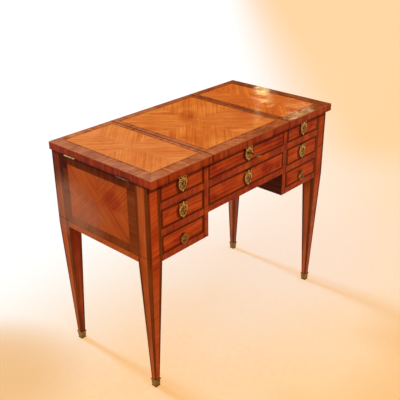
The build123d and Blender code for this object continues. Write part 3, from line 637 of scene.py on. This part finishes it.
def leg_veneer(node, side, front):
    """Square stile with a light strip between dark bands, a dark line, and the banded taper below."""
    low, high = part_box(node)
    forward = -1 if front else 1
    veneer = Veneer(f"{node}_veneer", AMBER_TULIPWOOD, lambda v: v.z, lambda v: v.y)
    out_x = (veneer.x - (low.x + high.x) / 2) * side
    out_y = (veneer.y - (low.y + high.y) / 2) * forward
    side_face = veneer.over(abs(veneer.normal_x), 0.7, 0.01)
    front_face = 1.0 - side_face
    fall = ((CASE_UNDERSIDE - veneer.z) / (CASE_UNDERSIDE - LEG_FOOT)).larger(0.0)
    width = STILE_WIDTH - fall * (STILE_WIDTH - LEG_ANKLE)
    place = veneer.pick(side_face, out_x, out_y) / width
    bands = (SIDE_CORNER_BAND, SIDE_INNER_BAND) if front else (REAR_CORNER_BAND, REAR_INNER_BAND)
    corner_band = veneer.pick(side_face, FRONT_CORNER_BAND, bands[0])
    inner_band = veneer.pick(side_face, FRONT_INNER_BAND, bands[1])
    at_corner = veneer.over(place + corner_band, 0.5, BAND_SOFTNESS)
    dark = at_corner.larger(veneer.under(place - inner_band, -0.5, BAND_SOFTNESS))
    light = 1.0 - dark
    stile = veneer.over(veneer.z, CASE_UNDERSIDE, 0.01)
    slanting = (veneer.x + veneer.z * LEG_GRAIN_SLOPE, veneer.z - veneer.x * LEG_GRAIN_SLOPE)
    veneer.lay(front_face, RED_TULIPWOOD, *slanting, 4.0 + side)
    veneer.lay(dark, DARK_AMARANTH, veneer.z, veneer.x + veneer.y, 2.0)
    if not front:
        veneer.lay(front_face * light, RAIL_TULIPWOOD, veneer.z, veneer.x, 6.0)
        # painted shade: the rear legs' front faces, under the case, are darkened
        veneer.darken(front_face * light, 0.3)
    if side < 0 and not front:
        # painted shadow of the lid's overhang on the rear stile's side
        veneer.darken(side_face * veneer.ramp(veneer.z, *REAR_STILE_SHADE), 0.5)
        veneer.darken(side_face * veneer.over(veneer.z, CASE_UNDERSIDE), 0.2)
        floor_sheen(veneer, side_face)
    if side < 0 and front:
        veneer.darken(side_face * light * stile, -0.16)
        rubbed_and_glint = front_face * light * veneer.between(veneer.z, *LEG_RUBBED, 0.07)
        veneer.lay(rubbed_and_glint * 0.6, ORANGE_TULIPWOOD, *slanting, 3.0)
    faded, sheen = LEG_FADE_AND_SHEEN[side, front]
    down = veneer.ramp(veneer.z, CASE_UNDERSIDE, LEG_FADE_AND_SHEEN_END) * light
    veneer.relay(down * faded, FADED_AMARANTH)
    # painted sheen: the bright floor's reflection, low on the legs
    veneer.relay(down * sheen, SHEEN_VENEER)
    if side > 0:
        veneer.darken(stile, 0.12)
        # painted shadow of the case on the right legs' inner faces, just below it
        inner_face = veneer.under(veneer.normal_x, -0.7, 0.01)
        case_shadow_mask = veneer.ramp(veneer.z, CASE_SHADOW_LOW, CASE_UNDERSIDE)
        case_shadow_mask = veneer.under(veneer.z, CASE_UNDERSIDE) * case_shadow_mask
        veneer.line(inner_face * case_shadow_mask * 0.7, CASE_SHADOW_COLOUR)
    veneer.line(veneer.between(veneer.z, STILE_LINE_LOW, STILE_LINE_HIGH) * 0.6, BROWN_LINE)
    # painted shadow below the lids: it reaches further down the front faces, under the deeper overhang
    reach = veneer.pick(side_face, FRONT_LID_SHADOW if front else END_LID_SHADOW, END_LID_SHADOW)
    return veneer.polish(figure=0.6, roughness=0.25, specular=FRONT_SPECULAR, lid_shadow_reach=reach)


def blotch(veneer, face, seed):
    """Patches of purple and of orange across a veneer."""
    spread = veneer.noise(veneer.x * 17.0, veneer.y * 17.0 + seed, veneer.z * 26.0, 2.0)
    veneer.relay(face * veneer.ramp(spread, 0.46, 0.34) * 0.7, PURPLE_TULIPWOOD)
    veneer.relay(face * veneer.ramp(spread, 0.52, 0.66) * 0.8, ORANGE_TULIPWOOD)


def rail_veneer(node):
    """Crossbanded front, plain inside."""
    veneer = Veneer(f"{node}_veneer", SHADED_VENEER, lambda v: v.x, lambda v: v.y)
    face = veneer.front_face()
    veneer.lay(face, RAIL_TULIPWOOD, veneer.z, veneer.x * 0.5, 5.0)
    blotch(veneer, face, 3.0)
    return veneer.polish(figure=0.5, roughness=0.25, specular=FRONT_SPECULAR)


def partition_veneer(node, side):
    """Light strip down the front edge, and in the kneehole a veneer darkened as painted shade."""
    low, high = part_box(node)
    outer = high.x if side > 0 else low.x
    veneer = Veneer(f"{node}_veneer", KNEEHOLE_VENEER, lambda v: v.y, lambda v: v.z)
    face = veneer.front_face()
    veneer.lay(face, RAIL_TULIPWOOD, veneer.z, veneer.x, 7.0)
    blotch(veneer, face, 8.0)
    veneer.line(face * veneer.under(abs(veneer.x - outer), PARTITION_LINE))
    return veneer.polish(figure=0.7, roughness=0.25, specular=FRONT_SPECULAR, lid_shadow_reach=FRONT_LID_SHADOW)


def front_veneer(node, seed, mount):
    """Drawer front: blotchy lengthwise veneer inside a dark line, painted shadow round its mount, oak
    behind.
    """
    low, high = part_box(node)
    mount_low, mount_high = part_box(mount)
    mount_reach = (mount_high.z - mount_low.z) * 0.55
    veneer = Veneer(f"{node}_veneer", OAK, lambda v: v.x, lambda v: v.z)
    face = veneer.front_face()
    edge_x = (veneer.x - low.x).smaller(high.x - veneer.x)
    edge_z = (veneer.z - low.z).smaller(high.z - veneer.z)
    veneer.lay(face, RED_TULIPWOOD, veneer.x, veneer.z, seed)
    blotch(veneer, face, seed)
    veneer.darken(face * veneer.ramp(veneer.x, 0.1, -0.3), -0.04)
    border = veneer.under(edge_x.smaller(edge_z), FRONT_BORDER, 0.0018)
    veneer.line(face * border * 0.92, BORDER_LINE)
    from_mount_x = veneer.x - (low.x + high.x) / 2
    from_mount_z = veneer.z - (mount_low.z + mount_high.z) / 2
    # painted shadow round the mount, set a little to its left
    grime_and_shadow = patch(veneer, from_mount_x + 0.0025, from_mount_z, mount_reach, mount_reach * 1.2)
    veneer.line(face * grime_and_shadow.smaller(0.3) * 2.6, MOUNT_SHADOW)
    return veneer.polish(figure=0.8, roughness=0.25, specular=FRONT_SPECULAR, lid_shadow_reach=FRONT_LID_SHADOW)


def solid_wood(name, wood, along, across, roughness=0.55):
    return Veneer(name, wood, along, across).polish(1.0, roughness, SOLID_WOOD_SPECULAR)


# ---------------------------------------------------------------- metal, leather and glass
def brass(name, bright, roughness=0.34, relief=False, dull_front=False):
    """Old gilt brass: worn bright on its relief, brown where dirt has stayed. dull_front is for the
    hinges, and makes them darker towards the front."""
    recipe = Recipe(name)
    cloud = recipe.grain(160.0, 3.0)
    speck = recipe.grain(900.0)
    dirt = recipe.ramp(cloud * 0.7 + speck * 0.3, 0.44, 0.64)
    colour = recipe.blend(dirt * 0.75, bright, BRASS_DIRT)
    if relief:
        height = (FRONT_PLANE - recipe.y) / BRASS_RELIEF
        chasing = recipe.cells(260.0)
        depth = recipe.ramp(height * 0.4 + chasing, 0.85, 0.45)
        recess = recipe.under(height, 0.75, 0.1)
        colour = recipe.blend(depth.larger(recess * 0.42), colour, BRASS_RECESS)
    if dull_front:
        colour = recipe.blend(recipe.ramp(recipe.y, 0.04, 0.0) * 0.75, colour, DULL_BRASS)
    recipe.bump(cloud * 0.00012 + speck * 0.00006)
    return recipe.finish(base_color=colour, metallic=1.0, roughness=dirt * 0.25 + roughness)


def steel():
    recipe = Recipe("lock_steel")
    cloud = recipe.grain(90.0, 3.0)
    colour = recipe.tint(cloud, STEEL)
    recipe.bump(cloud * 0.00008)
    return recipe.finish(base_color=colour, metallic=1.0, roughness=cloud * 0.3 + 0.3)


def leather():
    """Tooled leather: fine grain and a gilt fillet line inside the edge."""
    low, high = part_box("slide_leather")
    recipe = Recipe("slide_leather_hide")
    pebble = recipe.cells(520.0)
    cloud = recipe.grain(14.0, 3.0)
    colour = recipe.tint(cloud, HIDE)
    to_edge = (recipe.x - low.x).smaller(high.x - recipe.x).smaller(
        (recipe.y - low.y).smaller(high.y - recipe.y))
    colour = recipe.blend(recipe.between(to_edge, *FILLET_LINE), colour, HIDE_GILDING)
    recipe.bump(pebble * 0.0002)
    return recipe.finish(base_color=colour, roughness=pebble * 0.15 + 0.42)


def mirror_plate():
    recipe = Recipe("mirror_silvering")
    haze = recipe.grain(12.0, 4.0)
    spot = recipe.ramp(recipe.grain(60.0, 3.0), 0.66, 0.76)
    colour = recipe.blend(spot * 0.6, SILVERING, FOXING)
    return recipe.finish(base_color=colour, metallic=1.0, roughness=spot * 0.3 + haze * 0.06 + 0.02)


# ---------------------------------------------------------------- hinge screws
def slot_dirt():
    recipe = Recipe("slot_dirt")
    crumb = recipe.grain(2600.0)
    colour = recipe.tint(crumb, SLOT_DIRT)
    recipe.bump(crumb * 0.00002)
    return recipe.finish(base_color=colour, roughness=crumb * 0.2 + 0.7)


def half_head(shape, middle, turn, face, facing):
    """One half of a slotted screw head, its rim bevelled, standing a little proud of the face."""
    start = math.asin(SCREW_SLOT / (2 * SCREW_RADIUS))
    angles = [start + (math.pi - 2 * start) * step / SCREW_STEPS for step in range(SCREW_STEPS + 1)]
    crown = Vector((0.0, SCREW_RADIUS * SCREW_CROWN))
    rings = []
    for shrink, rise in ((1.0, -SCREW_SINK), (1.0, SCREW_RIM), (SCREW_BEVEL, SCREW_RISE)):
        ring = []
        for angle in angles:
            point = Vector((math.cos(angle), math.sin(angle))) * SCREW_RADIUS
            point = crown + (point - crown) * shrink
            flat = Matrix.Rotation(turn, 2) @ point
            ring.append(shape.verts.new((middle[0] + flat.x, middle[1] + flat.y, face + facing * rise)))
        rings.append(ring)
    for lower, upper in zip(rings, rings[1:]):
        for index, vertex in enumerate(lower):
            after = (index + 1) % len(lower)
            shape.faces.new((vertex, lower[after], upper[after], upper[index]))
    shape.faces.new(rings[0])
    shape.faces.new(rings[-1])


def slot_floor(shape, middle, face, facing):
    """The disc under both halves of a head, dark with old polish where the slot shows it."""
    rim = []
    for step in range(SLOT_STEPS):
        angle = math.tau * step / SLOT_STEPS
        rim.append(shape.verts.new((middle[0] + SCREW_RADIUS * math.cos(angle),
                                    middle[1] + SCREW_RADIUS * math.sin(angle),
                                    face + facing * SLOT_LEVEL)))
    under = [shape.verts.new((*vertex.co.xy, face - facing * SCREW_SINK)) for vertex in rim]
    walls = [shape.faces.new((under[index - 1], under[index], rim[index], rim[index - 1]))
             for index in range(SLOT_STEPS)]
    for floor_face in [shape.faces.new(rim), shape.faces.new(under), *walls]:
        floor_face.material_index = 1


def hinge_screws(name, leaves, face, facing, body, materials):
    """Three slotted screws in each hinge leaf. leaves: each leaf's middle, and if it runs along X."""
    shape = bmesh.new()
    for leaf_index, (middle_x, middle_y, along_x) in enumerate(leaves):
        for place_index, place in enumerate(SCREW_PLACES):
            middle = (middle_x + place, middle_y) if along_x else (middle_x, middle_y + place)
            turn = 0.9 * leaf_index + 1.7 * place_index + 0.4
            for half in (0.0, math.pi):
                half_head(shape, middle, turn + half, face, facing)
            slot_floor(shape, middle, face, facing)
    bmesh.ops.recalc_face_normals(shape, faces=shape.faces)
    piece = new_object(name, shape, materials)
    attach(piece, body)


def add_hinge_screws(iron):
    """Screws in the leaves of the case, that face up, and in those of the lids, that face down."""
    materials = (iron, slot_dirt())
    end_leaves = {side: [(side * END_LEAF, place, False) for place in END_HINGES] for side in (-1, 1)}
    rear_leaves = [(side * REAR_HINGE, REAR_LEAF, True) for side in (-1, 1)]
    hinge_screws("case_hinge_screws", end_leaves[-1] + end_leaves[1] + rear_leaves, CASE_TOP, 1, "case",
                 materials)
    for lid, leaves in (("lid_left", end_leaves[-1]), ("lid_right", end_leaves[1]),
                        ("lid_centre", rear_leaves)):
        hinge_screws(f"{lid}_hinge_screws", leaves, LID_UNDERSIDE, -1, lid, materials)


# ---------------------------------------------------------------- dressing
def dress_top():
    for node, left, right, patches in (
            ("lid_left", LID_OUTER_BAND, LID_JOINT_BAND, []),
            ("lid_centre", LID_CENTRE_JOINT_BAND, LID_CENTRE_JOINT_BAND, CENTRE_PATCHES),
            ("lid_right", LID_JOINT_BAND, LID_OUTER_BAND, [])):
        paint(node, lid_veneer(node, left, right, patches))


def dress_case():
    for name, side in (("left", -1), ("right", 1)):
        paint(f"end_panel_{name}", end_panel_veneer(f"end_panel_{name}", side))
        paint(f"leg_front_{name}", leg_veneer(f"leg_front_{name}", side, True))
        paint(f"leg_rear_{name}", leg_veneer(f"leg_rear_{name}", side, False))
        paint(f"partition_{name}", partition_veneer(f"partition_{name}", side))
        paint(f"rails_{name}", rail_veneer(f"rails_{name}"))
        middle, bottom = f"drawer_middle_{name}", f"drawer_bottom_{name}"
        for front, seed, mount in ((f"sham_front_{name}", 1.0, "sham_escutcheons"),
                                   (f"{middle}_front", 5.0, f"{middle}_escutcheon"),
                                   (f"{bottom}_front", 9.0, f"{bottom}_rose")):
            paint(front, front_veneer(front, seed + side, mount))
    paint("rails_centre", rail_veneer("rails_centre"))
    paint("slide_front", front_veneer("slide_front", 13.0, "slide_escutcheon"))
    paint("drawer_centre_front", front_veneer("drawer_centre_front", 15.0, "drawer_centre_escutcheon"))


def dress_inside():
    """Plain oak inside and behind, and the fittings of the middle lid and the slide."""
    paint_all(("bottom_boards", "dust_boards", "well_floors", "bottom_board_centre", "slide_bed",
               "mirror_well_floor", "mirror_well_front", "drawer_guides"),
              solid_wood("carcase_oak", OAK, lambda v: v.y, lambda v: v.x + v.z))
    paint_all(("drawer_middle_left_box", "drawer_middle_right_box", "drawer_bottom_left_box",
               "drawer_bottom_right_box", "drawer_centre_box"),
              solid_wood("drawer_oak", OAK, lambda v: v.y, lambda v: v.z + v.x))
    paint("slide_board", solid_wood("slide_oak", OAK, lambda v: v.x, lambda v: v.y + v.z, 0.4))
    paint("back_boards", solid_wood("back_oak", BACK_OAK, lambda v: v.z, lambda v: v.x + v.y, 0.6))
    paint("mirror_frame", solid_wood("mirror_frame_wood", RED_TULIPWOOD, lambda v: v.x, lambda v: v.y, 0.3))
    paint("mirror_glass", mirror_plate())
    paint("slide_leather", leather())


def dress_metalwork():
    paint_all(("sham_escutcheons", "drawer_centre_escutcheon", "slide_escutcheon",
               "drawer_middle_left_escutcheon", "drawer_middle_right_escutcheon",
               "drawer_bottom_left_rose", "drawer_bottom_right_rose"),
              brass("gilt_brass", GILT, relief=True))
    paint_all(("drawer_bottom_left_ring", "drawer_bottom_right_ring", "key"),
              brass("worn_brass", WORN_BRASS, 0.42))
    paint("sabots", brass("sabot_brass", SABOT_BRASS, 0.36))
    paint_all(("case_hinge_leaves", "lid_left_hinge_leaves", "lid_right_hinge_leaves",
               "lid_centre_hinge_leaves"),
              brass("hinge_brass", HINGE_BRASS, 0.45, dull_front=True))
    iron = steel()
    paint_all(("hinge_pins", "slide_lock", "drawer_centre_lock", "drawer_middle_left_lock",
               "drawer_middle_right_lock"), iron)
    add_hinge_screws(iron)


# ---------------------------------------------------------------- stage
def add_floor():
    """Pale carpet with a painted pool of window light at the far left, warmer nearer the camera, with light
    warm shadows.
    """
    plan = bmesh.new()
    bmesh.ops.create_grid(plan, x_segments=1, y_segments=1, size=FLOOR_REACH)
    recipe = Recipe("floor_carpet")
    away = recipe.x * AWAY[0] + recipe.y * AWAY[1]
    to_left = recipe.y * AWAY[0] - recipe.x * AWAY[1]
    drift = recipe.noise(recipe.x * 2.2, recipe.y * 2.2, recipe.z, 3.0)
    fleck = recipe.noise(recipe.x * 60.0, recipe.y * 60.0, recipe.z, 3.0)
    tone = recipe.ramp(away + (drift - 0.5) * 0.35 + (fleck - 0.5) * 0.4, *FLOOR_RUN)
    # painted pool of window light on the floor at the far left
    light_pool = recipe.ramp(to_left * 0.75 + away * 0.55, 0.0, 0.85) * recipe.ramp(to_left, -0.75, -0.2)
    warm_side = recipe.ramp(away * -0.35 - to_left, 0.1, 0.8)
    far_side = recipe.ramp(away, 1.0, 1.7) * recipe.ramp(to_left, -0.5, -1.0)
    from_corner = (away + 0.36) * (away + 0.36) * 4.0 + (to_left - 0.72) * (to_left - 0.72) * 3.0
    colour = recipe.tint(tone, FLOOR_SHADES)
    for mask, shade in ((light_pool, FLOOR_LIGHT_POOL), (warm_side * 0.5, FLOOR_WARM_SIDE),
                        (far_side * 0.85, FLOOR_FAR_SIDE),
                        (recipe.ramp(from_corner, 0.48, 0.0) * 0.85, FLOOR_CORNER)):
        colour = recipe.blend(mask, colour, shade)
    recipe.bump(fleck * 0.001)
    path = recipe.nodes.new("ShaderNodeLightPath")
    seen = Value(recipe, path.outputs["Is Camera Ray"])
    for ray in ("Is Glossy Ray", "Is Transmission Ray"):
        seen = seen.larger(Value(recipe, path.outputs[ray]))
    lit = recipe.blend(1.0, colour, FLOOR_LIT_SHARE, "MULTIPLY")
    glow = recipe.blend(1.0, colour, FLOOR_GLOW_SHARE, "MULTIPLY")
    material = recipe.finish(base_color=recipe.blend(seen, colour, lit), emission_color=glow,
                             emission_strength=seen, roughness=0.9, specular_ior_level=0.0)
    new_object("floor", plan, (material,))


def add_world():
    """Pale low down, dim behind the back edge of the top so that its polish stays deep, and bright
    overhead."""
    world = bpy.data.worlds.new("room")
    bpy.context.scene.world = world
    world.use_nodes = True
    nodes, links = world.node_tree.nodes, world.node_tree.links
    coordinates = nodes.new("ShaderNodeTexCoord")
    split = nodes.new("ShaderNodeSeparateXYZ")
    links.new(coordinates.outputs["Generated"], split.inputs[0])
    ramp = nodes.new("ShaderNodeValToRGB")
    fill_ramp(ramp, ROOM_LIGHT)
    links.new(split.outputs[2], ramp.inputs[0])
    links.new(ramp.outputs[0], nodes["Background"].inputs["Color"])
    nodes["Background"].inputs["Strength"].default_value = 1.0


def place_lamp(lamp, place, target):
    """Puts a lamp in the scene, turned to its target."""
    holder = show(bpy.data.objects.new(lamp.name, lamp))
    holder.location = place
    holder.rotation_euler = (Vector(target) - Vector(place)).to_track_quat("-Z", "Y").to_euler()


def add_lamps():
    """A soft window light from behind, and small gaps of bright window that show in the polish."""
    sun = bpy.data.lights.new("window_light", "SUN")
    sun.energy = SUN_STRENGTH
    sun.angle = math.radians(SUN_ANGLE)
    sun.color = SUN_COLOUR
    place_lamp(sun, SUN_PLACE, SUN_TARGET)
    for name, place, target, width, height, power in WINDOW_GAPS:
        gap = bpy.data.lights.new(name, "AREA")
        gap.shape = "RECTANGLE"
        gap.size, gap.size_y = width, height
        gap.energy = power
        gap.color = GAP_COLOUR
        place_lamp(gap, place, target)


def add_camera():
    azimuth, elevation = math.radians(CAMERA_AZIMUTH), math.radians(CAMERA_ELEVATION)
    back = Vector((math.sin(azimuth) * math.cos(elevation), -math.cos(azimuth) * math.cos(elevation),
                   math.sin(elevation)))
    right = Vector((0, 0, 1)).cross(back).normalized()
    upward = back.cross(right)
    turn = Matrix((right, upward, back)).transposed() @ Matrix.Rotation(math.radians(CAMERA_ROLL), 3, "Z")
    data = bpy.data.cameras.new("camera")
    data.lens = CAMERA_LENS
    data.sensor_width = CAMERA_SENSOR
    camera = show(bpy.data.objects.new("camera", data))
    camera.matrix_world = Matrix.Translation(CAMERA_PLACE) @ turn.to_4x4()
    bpy.context.scene.camera = camera


dress_top()
dress_case()
dress_inside()
dress_metalwork()
add_floor()
add_world()
add_lamps()
add_camera()
bpy.context.scene.view_settings.view_transform = "Standard"
